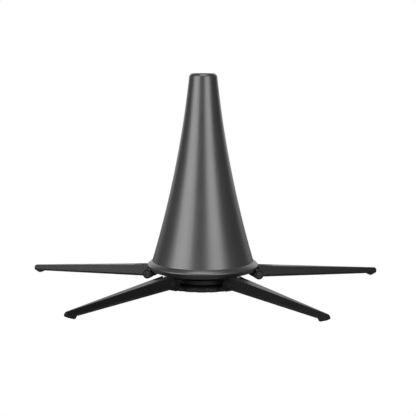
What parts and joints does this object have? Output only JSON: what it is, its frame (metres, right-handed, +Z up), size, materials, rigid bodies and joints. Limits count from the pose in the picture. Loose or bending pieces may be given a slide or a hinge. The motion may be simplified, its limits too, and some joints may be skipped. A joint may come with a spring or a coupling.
{
  "type": "trumpet stand",
  "caption": "Free-standing instrument stand: a tall flared cone that a trumpet's bell slides over, on a round hub with low folding legs and a scalloped hand wheel beneath.",
  "frame": {"origin": "on the cone's axis, at the level of the floor under the feet", "axes": "+Z up along the cone's axis; -Y is the front, between two legs; one leg points straight back along +Y"},
  "size_m": [0.353, 0.3361, 0.204],
  "materials": {
    "cone_satin": "satin charcoal",
    "leg_black": "semi-gloss",
    "black_moulding": "satin",
    "foot_rubber": "matt",
    "dark_steel": "black oxide",
    "bright_steel": "zinc plated",
    "brass": "turned",
    "washer_nylon": "smooth"
  },
  "bodies": {
    "hub": {"leg_hub": "black_moulding", "slip_washer": "washer_nylon"},
    "cone": {"cone_shell": "cone_satin", "cone_base_plate": "black_moulding", "base_plate_screws": "dark_steel", "threaded_insert": "brass"},
    "wheel": {"clamp_wheel": "black_moulding", "wheel_stud": "bright_steel", "stud_clip": "bright_steel", "wheel_cap": "black_moulding"},
    "leg_1": {"leg_1": "leg_black", "foot_1": "foot_rubber", "hinge_screw_1": "dark_steel", "hinge_nut_1": "dark_steel"},
    "leg_2": {"leg_2": "leg_black", "foot_2": "foot_rubber", "hinge_screw_2": "dark_steel", "hinge_nut_2": "dark_steel"},
    "leg_3": {"leg_3": "leg_black", "foot_3": "foot_rubber", "hinge_screw_3": "dark_steel", "hinge_nut_3": "dark_steel"},
    "leg_4": {"leg_4": "leg_black", "foot_4": "foot_rubber", "hinge_screw_4": "dark_steel", "hinge_nut_4": "dark_steel"},
    "leg_5": {"leg_5": "leg_black", "foot_5": "foot_rubber", "hinge_screw_5": "dark_steel", "hinge_nut_5": "dark_steel"}
  },
  "joints": [
    {"name": "wheel_turn", "type": "hinge", "parent": "hub", "child": "wheel", "pos_m": [0, 0, 0.004], "axis": [0, 0, 1], "range_deg": [0, 2520]},
    {"name": "cone_lift", "type": "slide", "parent": "hub", "child": "cone", "axis": [0, 0, 1], "range_m": [0, 0.00875]},
    {"name": "leg_1_fold", "type": "hinge", "parent": "hub", "child": "leg_1", "pos_m": [0.03186, -0.04385, 0.0082], "axis": [0.809, 0.5878, 0], "range_deg": [0, 105]},
    {"name": "leg_2_fold", "type": "hinge", "parent": "hub", "child": "leg_2", "pos_m": [0.05155, 0.01675, 0.0082], "axis": [-0.309, 0.9511, 0], "range_deg": [0, 105]},
    {"name": "leg_3_fold", "type": "hinge", "parent": "hub", "child": "leg_3", "pos_m": [0, 0.0542, 0.0082], "axis": [-1, 0, 0], "range_deg": [0, 105]},
    {"name": "leg_4_fold", "type": "hinge", "parent": "hub", "child": "leg_4", "pos_m": [-0.05155, 0.01675, 0.0082], "axis": [-0.309, -0.9511, 0], "range_deg": [0, 105]},
    {"name": "leg_5_fold", "type": "hinge", "parent": "hub", "child": "leg_5", "pos_m": [-0.03186, -0.04385, 0.0082], "axis": [0.809, -0.5878, 0], "range_deg": [0, 105]}
  ],
  "couplings": [
    {"joint": "wheel_turn", "follows": "cone_lift", "rad_per_m": 5026.5}
  ]
}
